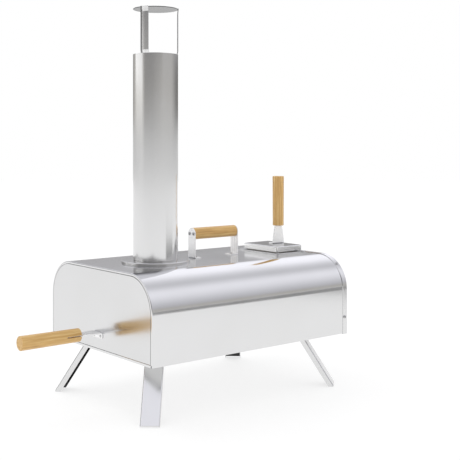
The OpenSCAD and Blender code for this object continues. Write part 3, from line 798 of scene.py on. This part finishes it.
def hopper_lid():
    """A folded tray turned upside down, with rounded bends. Its top gets a darker copy of the lid steel:
    painted shade.
    """
    lo, hi = low("hopper_lid"), high("hopper_lid")
    path = plate_path(hi.x - lo.x, hi.y - lo.y, 3 * MM)
    profile = [(SHEET, hi.z - SHEET), (SHEET, lo.z + 0.3 * MM), (SHEET - 0.3 * MM, lo.z),
               (0.3 * MM, lo.z), (0, lo.z + 0.3 * MM), (0, hi.z - BEND)]
    profile += [(BEND - x, hi.z - BEND + y) for x, y in arc(0, 0, BEND, 15, 90, 5)]
    skin = finish_piece(sweep(path, profile, flat_place(middle("hopper_lid"))), "hopper_lid_skin", LID_STEEL,
                        "lid", ["hopper_lid"], inner=LID_TOP_PAINTED_SHADE)
    for face in skin.data.polygons:
        # The top face gets the painted shade.
        face.material_index = 1 if face.normal.z > 0.9 else 0
    return skin


def lid_tang():
    """The upright bar of the lid handle, with its foot bent over onto the lid."""
    lo, hi = low("lid_tang"), high("lid_tang")
    y = middle("lid_tang").y
    bend = 2.6 * MM
    z_foot = lo.z + TANG_T / 2
    x_up = hi.x - TANG_T / 2
    grip_z = low("lid_grip").z
    foot_w, neck_w = 37 * MM, 24 * MM
    corner = [(x_up - bend + bend * math.sin(a), y, z_foot + bend - bend * math.cos(a))
              for a in QUARTER]
    points = [(lo.x, y, z_foot)] + corner
    widths = [foot_w] * len(points)
    points += [(x_up, y, grip_z - 2 * MM), (x_up, y, grip_z - 1.9 * MM), (x_up, y, hi.z)]
    widths += [neck_w, GRIP_TONGUE, GRIP_TONGUE]
    return finish_piece(strip(points, widths, (0, 1, 0), TANG_T), "lid_tang_bar", BRUSHED,
                        "lid", ["lid_tang"], 0.35 * MM)


def lid_grip():
    lo, hi = low("lid_grip"), high("lid_grip")
    radius = size("lid_grip").x / 2
    edge_low, edge_top = 1.2 * MM, 1.8 * MM
    profile = [(radius - 0.5 * MM - edge_low + x, lo.z + edge_low + y)
               for x, y in arc(0, 0, edge_low, -90, 0, 5)]
    profile += [(radius - edge_top + x, hi.z - edge_top + y) for x, y in arc(0, 0, edge_top, 0, 90, 6)]
    centre = middle("lid_grip")
    grip = lathe(profile, (centre.x, centre.y, 0), "Z", 72)
    slot_half = TANG_T / 2 + SLOT_PLAY
    slot = box_mesh((centre.x - slot_half, centre.y - 8.1 * MM, lo.z - 5 * MM),
                    (centre.x + slot_half, centre.y + 8.1 * MM, lo.z + 31 * MM))
    return finish_piece(cut(grip, slot), "lid_grip_turned", WOOD_Z, "lid", ["lid_grip"])


def lid_rivets():
    lo, hi = low("lid_rivets"), high("lid_rivets")
    x = (lo.x + hi.x) / 2
    seat_z = high("hopper_lid").z + TANG_T
    heads = [rivet_mesh((x, y, seat_z), (0, 0, 1)) for y in (lo.y + 3 * MM, hi.y - 3 * MM)]
    return finish_piece(merge(*heads), "lid_rivet_heads", FASTENER, "lid", ["lid_rivets"])


# ---------- burner ----------

def burner_front():
    """The plate behind the rear cap, with two rows of air slots."""
    lo, hi = low("burner_front"), high("burner_front")
    centre = middle("burner_front")
    thick = hi.y - lo.y
    edge = 0.5 * MM
    path = plate_path(hi.x - lo.x, hi.z - lo.z, 4 * MM)
    profile = [(0, 0), (0, thick - edge)]
    profile += [(edge - x, thick - edge + y) for x, y in arc(0, 0, edge, 20, 90, 3)]
    plate = sweep(path, profile, lambda u, v, along: Vector((centre.x + u, lo.y + along, centre.z + v)))
    slots = []
    for x in (-44 * MM, 44 * MM):
        for i in range(-2, 3):
            cx = x + i * 7 * MM
            slots.append(box_mesh((cx - 1.5 * MM, lo.y - 2 * MM, centre.z - 10 * MM),
                                  (cx + 1.5 * MM, hi.y + 2 * MM, centre.z + 10 * MM)))
    return finish_piece(cut(plate, *slots), "burner_front_plate", STEEL_X, "burner",
                        ["burner_front"])


def burner_pull():
    """A bar bent into a shallow loop."""
    lo, hi = low("burner_pull"), high("burner_pull")
    thick = 2.5 * MM
    bend = 6 * MM
    z = middle("burner_pull").z
    half, reach = (hi.x - lo.x) / 2 - thick / 2, hi.y - thick / 2
    points = [(-half, lo.y, z)]
    points += [(-half + bend - bend * math.cos(a), reach - bend + bend * math.sin(a), z)
               for a in QUARTER]
    points += [(half - bend + bend * math.sin(a), reach - bend + bend * math.cos(a), z)
               for a in QUARTER]
    points += [(half, lo.y, z)]
    return finish_piece(strip(points, [hi.z - lo.z] * len(points), (0, 0, 1), thick), "burner_pull_loop",
                        BRUSHED, "burner", ["burner_pull"], 0.5 * MM)


# ---------- legs ----------

LEG_W = 39.5 * MM
LEG_D = 12 * MM
LEG_T = 1.5 * MM
LEG_LEAN = math.radians(32.5)


def leg(corner):
    """A pressed channel with rounded bends, cut level at the ground with its toe trimmed.
    The inside of the channel gets a near-black painted shade.
    """
    node = "leg_" + corner
    joint = next(j for j in frame["joints"] if j["name"] == node + "_fold")
    pivot = Vector(joint["pos_m"])
    pin = Vector(joint["axis"])
    outward = Vector((pin.y, -pin.x, 0))
    reach, half, bend = LEG_D / 2, LEG_W / 2, 2.4 * MM
    outline = [(-reach, -half)]
    outline += [(reach - bend + x, -half + bend + y) for x, y in arc(0, 0, bend, -90, 0, 5)]
    outline += [(reach - bend + x, half - bend + y) for x, y in arc(0, 0, bend, 0, 90, 5)]
    outline += [(-reach, half)]
    inner = [(-reach, half - LEG_T)]
    inner += [(reach - bend + x, half - bend + y) for x, y in arc(0, 0, bend - LEG_T, 90, 0, 5)]
    inner += [(reach - bend + x, -half + bend + y) for x, y in arc(0, 0, bend - LEG_T, 0, -90, 5)]
    inner += [(-reach, -half + LEG_T)]
    down = Vector((0, 0, -1)) * math.cos(LEG_LEAN) + outward * math.sin(LEG_LEAN)
    across = outward * math.cos(LEG_LEAN) + Vector((0, 0, 1)) * math.sin(LEG_LEAN)
    length = pivot.z / math.cos(LEG_LEAN) + LEG_D
    bm = bmesh.new()
    rings = [[bm.verts.new(pivot + across * u + pin * v + down * d) for u, v in outline + inner]
             for d in (-6 * MM, length)]
    count = len(rings[0])
    for i in range(count):
        j = (i + 1) % count
        face = bm.faces.new((rings[0][i], rings[0][j], rings[1][j], rings[1][i]))
        # The inside faces of the channel get the painted shade.
        face.material_index = int(len(outline) <= i < count - 1)
    for ring in rings:
        bm.faces.new(ring)
    toe = pivot + across * reach + down * (pivot.z / math.cos(LEG_LEAN))
    heel = pivot - across * (reach * 0.2) - down * 6 * MM
    for point, normal in ((Vector((0, 0, 0)), Vector((0, 0, -1))), (toe, (across + down).normalized()),
                          (heel, (-across * 0.9 - down).normalized())):
        geometry = bm.verts[:] + bm.edges[:] + bm.faces[:]
        found = bmesh.ops.bisect_plane(bm, geom=geometry, plane_co=point, plane_no=normal, clear_outer=True)
        rim = [e for e in found["geom_cut"] if isinstance(e, bmesh.types.BMEdge)]
        bmesh.ops.edgeloop_fill(bm, edges=rim)
    return finish_piece(bm, node + "_channel", LEG_STEEL, node + "_body", [node], 0.3 * MM,
                        inner=LEG_INSIDE_PAINTED_SHADE)


# ---------- everything else keeps its CAD shape ----------

def paint_cad_nodes():
    paints = {"bottom_pan": STEEL_Y, "front_frame": STEEL_X, "pizza_stone": STONE}
    for name in NODES:
        if "insulation" in name:
            paints[name] = BLANKET
        elif name.startswith("leg_bracket"):
            paints[name] = BRUSHED
        elif name in ("leg_pins", "bracket_screws"):
            paints[name] = FASTENER
    hot = ("inner_liner", "stone_rail_left", "stone_rail_right", "heat_deflector", "chimney_collar",
           "hopper_chute", "burner_tray", "burner_grate", "door_pan")
    paints.update({name: HEAT_STEEL for name in hot})
    for name, material in paints.items():
        for material_slot in NODES[name].material_slots:
            material_slot.material = material


outer_shell()
rear_cap()
rear_cap_screws()
door_plate()
door_tang()
door_grip()
door_rivets()
chimney_flange()
chimney_pipe()
chimney_cap()
for strap, strap_angle in (("front", -64), ("right", 56), ("left", 176)):
    cap_strap("cap_strap_" + strap, strap_angle)
carry_bracket("carry_bracket_front", 1)
carry_bracket("carry_bracket_rear", -1)
carry_grip()
carry_screws()
hopper_flange()
hopper_screws()
hopper_lid()
lid_tang()
lid_grip()
lid_rivets()
burner_front()
burner_pull()
for leg_corner in ("front_right", "front_left", "rear_right", "rear_left"):
    leg(leg_corner)
paint_cad_nodes()


# ---------- studio ----------

def studio_floor():
    bm = bmesh.new()
    bmesh.ops.create_circle(bm, cap_ends=True, segments=96, radius=12.0)
    mesh = bpy.data.meshes.new("studio_floor")
    bm.to_mesh(mesh)
    bm.free()
    mesh.materials.append(floor_white("studio_floor_white"))
    floor = bpy.data.objects.new("studio_floor", mesh)
    floor.location.z = -0.4 * MM
    bpy.context.collection.objects.link(floor)


# Levels of the studio that steel sees, at half strength. HORIZON goes round by azimuth, from -180 to
# 180 degrees, ARCH goes over the rear half from right to left, and FRONT_HIGH goes up the front half.
GAP, LOW_WALL, BOX, BRIGHT_BOX = 0.15, 0.25, 0.4, 0.6
HORIZON = [(0.0, 0.2), (0.1, BOX), (0.2, BOX), (0.25, GAP), (0.35, GAP), (0.5, LOW_WALL), (0.65, LOW_WALL),
           (0.75, 0.1), (0.85, 0.1), (1.0, 0.2)]
ARCH = [(0.0, LOW_WALL), (0.3, 0.5), (0.45, 0.35), (0.7, BRIGHT_BOX), (0.8, BRIGHT_BOX), (1.0, LOW_WALL)]
FRONT_HIGH = [(0.0, 0.2), (0.2, 0.1), (0.4, 0.1), (0.6, 0.5)]
FAR_FLOOR = 0.35
STRIP_BOX = 0.85
COOL = (0.995, 0.995, 1.06)
WARM = (1.03, 1.0, 0.95)
DOME = 0.88


def grey(level):
    return (level, level, level, 1.0)


def level_ramp(tree, fac, stops, tint, mode="EASE"):
    node = add_node(tree, "ShaderNodeValToRGB", {"Fac": fac})
    node.color_ramp.interpolation = mode
    elements = node.color_ramp.elements
    while len(elements) < len(stops):
        elements.new(0.5)
    for element, (place, level) in zip(elements, stops):
        element.position = place
        element.color = (*[level * part for part in tint], 1.0)
    return node.outputs["Color"]


def studio_world():
    """Steel sees a studio with boxes and dark gaps; everything else is lit by an even dome."""
    world = bpy.data.worlds.new("studio")
    bpy.context.scene.world = world
    world.use_nodes = True
    tree = world.node_tree
    tree.nodes.clear()

    def math_node(operation, *values):
        return add_node(tree, "ShaderNodeMath", dict(enumerate(values)), operation=operation).outputs["Value"]

    def smooth(value, start, end):
        return add_node(tree, "ShaderNodeMapRange", {"Value": value, "From Min": start, "From Max": end},
                        interpolation_type="SMOOTHSTEP").outputs["Result"]

    def window(value, start, full, fade, end):
        return math_node("MULTIPLY", smooth(value, start, full), smooth(value, end, fade))

    def blend(factor, first, second):
        return add_node(tree, "ShaderNodeMix", {"Factor": factor, 6: first, 7: second},
                        data_type="RGBA").outputs[2]

    direction = add_node(tree, "ShaderNodeTexCoord").outputs["Generated"]
    parts = add_node(tree, "ShaderNodeSeparateXYZ", {"Vector": direction})
    x, y, z = (parts.outputs[k] for k in "XYZ")
    azimuth = math_node("MULTIPLY_ADD", math_node("ARCTAN2", y, x), 0.5 / math.pi, 0.5)
    around = level_ramp(tree, azimuth, HORIZON, WARM, "LINEAR")
    box_side = window(azimuth, 0.05, 0.08, 0.2, 0.22)
    box_up = window(z, 0.05, 0.1, 0.1, 0.13)
    around = blend(math_node("MULTIPLY", box_side, box_up), around, grey(STRIP_BOX))
    arch = level_ramp(tree, math_node("MULTIPLY", math_node("ARCTAN2", z, x), 1 / math.pi), ARCH, COOL)
    around = blend(smooth(z, 0.0, 0.04), grey(FAR_FLOOR), around)
    rear_half = blend(smooth(z, 0.06, 0.20), around, arch)
    front_half = blend(smooth(z, 0.11, 0.13), around, level_ramp(tree, z, FRONT_HIGH, COOL))
    seen_by_steel = blend(smooth(y, -0.08, 0.12), front_half, rear_half)
    path = add_node(tree, "ShaderNodeLightPath")
    dome = blend(path.outputs["Is Glossy Ray"], grey(DOME / 2), seen_by_steel)
    backdrop = blend(path.outputs["Is Camera Ray"], dome, grey(0.5))
    light = add_node(tree, "ShaderNodeBackground", {"Color": backdrop, "Strength": 2.0})
    add_node(tree, "ShaderNodeOutputWorld", {"Surface": light.outputs["Background"]})


def dark_card():
    """A low grey card off the right rear, seen only in the steel."""
    centre = Vector((0.875, 0.665, 0.163))
    out = Vector((0.75, 0.64, 0)).normalized()
    side = Vector((-out.y, out.x, 0))
    half_w, half_h = 0.42, 0.063
    bm = bmesh.new()
    bm.faces.new([bm.verts.new(centre + side * u * half_w + Vector((0, 0, v * half_h)))
                  for u, v in ((-1, -1), (1, -1), (1, 1), (-1, 1))])
    mesh = bpy.data.meshes.new("dark_card")
    bm.to_mesh(mesh)
    bm.free()
    paint = Shader("card_grey")
    grain = stretched_noise(paint, 8.0, (1.0, 1.0, 1.0))
    paint.link(ramp(paint, grain.outputs["Fac"], [(0.3, (0.30, 0.30, 0.30)), (0.7, (0.33, 0.33, 0.33))]),
               "Base Color")
    paint.set(Roughness=0.9)
    mesh.materials.append(paint.material)
    card = bpy.data.objects.new("dark_card", mesh)
    card.visible_camera = False
    card.visible_diffuse = False
    card.visible_shadow = False
    bpy.context.collection.objects.link(card)


def soft_light(name, place, target, width, power):
    data = bpy.data.lights.new(name, "AREA")
    data.shape = "SQUARE"
    data.size = width
    data.energy = power
    lamp = bpy.data.objects.new(name, data)
    lamp.location = place
    lamp.rotation_euler = (Vector(target) - Vector(place)).to_track_quat("-Z", "Y").to_euler()
    lamp.visible_camera = False
    lamp.visible_glossy = False
    bpy.context.collection.objects.link(lamp)


EYE_FROM_CORNER = Vector((1.491, -1.0217, 0.4362))
EYE_TURN = math.radians(50.77)
LENS = 72.52
LENS_SHIFT = -0.1863


def camera():
    """A level lens above the roof, set off from the near lower corner of the body."""
    near_corner = Vector((BODY_W / 2, FRONT_Y, BODY_Z))
    data = bpy.data.cameras.new("view")
    data.sensor_width = 36.0
    data.lens = LENS
    data.shift_y = LENS_SHIFT
    data.clip_end = 50.0
    eye = bpy.data.objects.new("view", data)
    eye.location = near_corner + EYE_FROM_CORNER
    eye.rotation_euler = (math.radians(90), 0.0, EYE_TURN)
    bpy.context.collection.objects.link(eye)
    bpy.context.scene.camera = eye


studio_floor()
studio_world()
dark_card()
soft_light("top soft box", (-1.2, -0.6, 2.6), (0, 0, 0.2), 1.6, 13.0)
camera()
bpy.context.scene.view_settings.view_transform = "Standard"
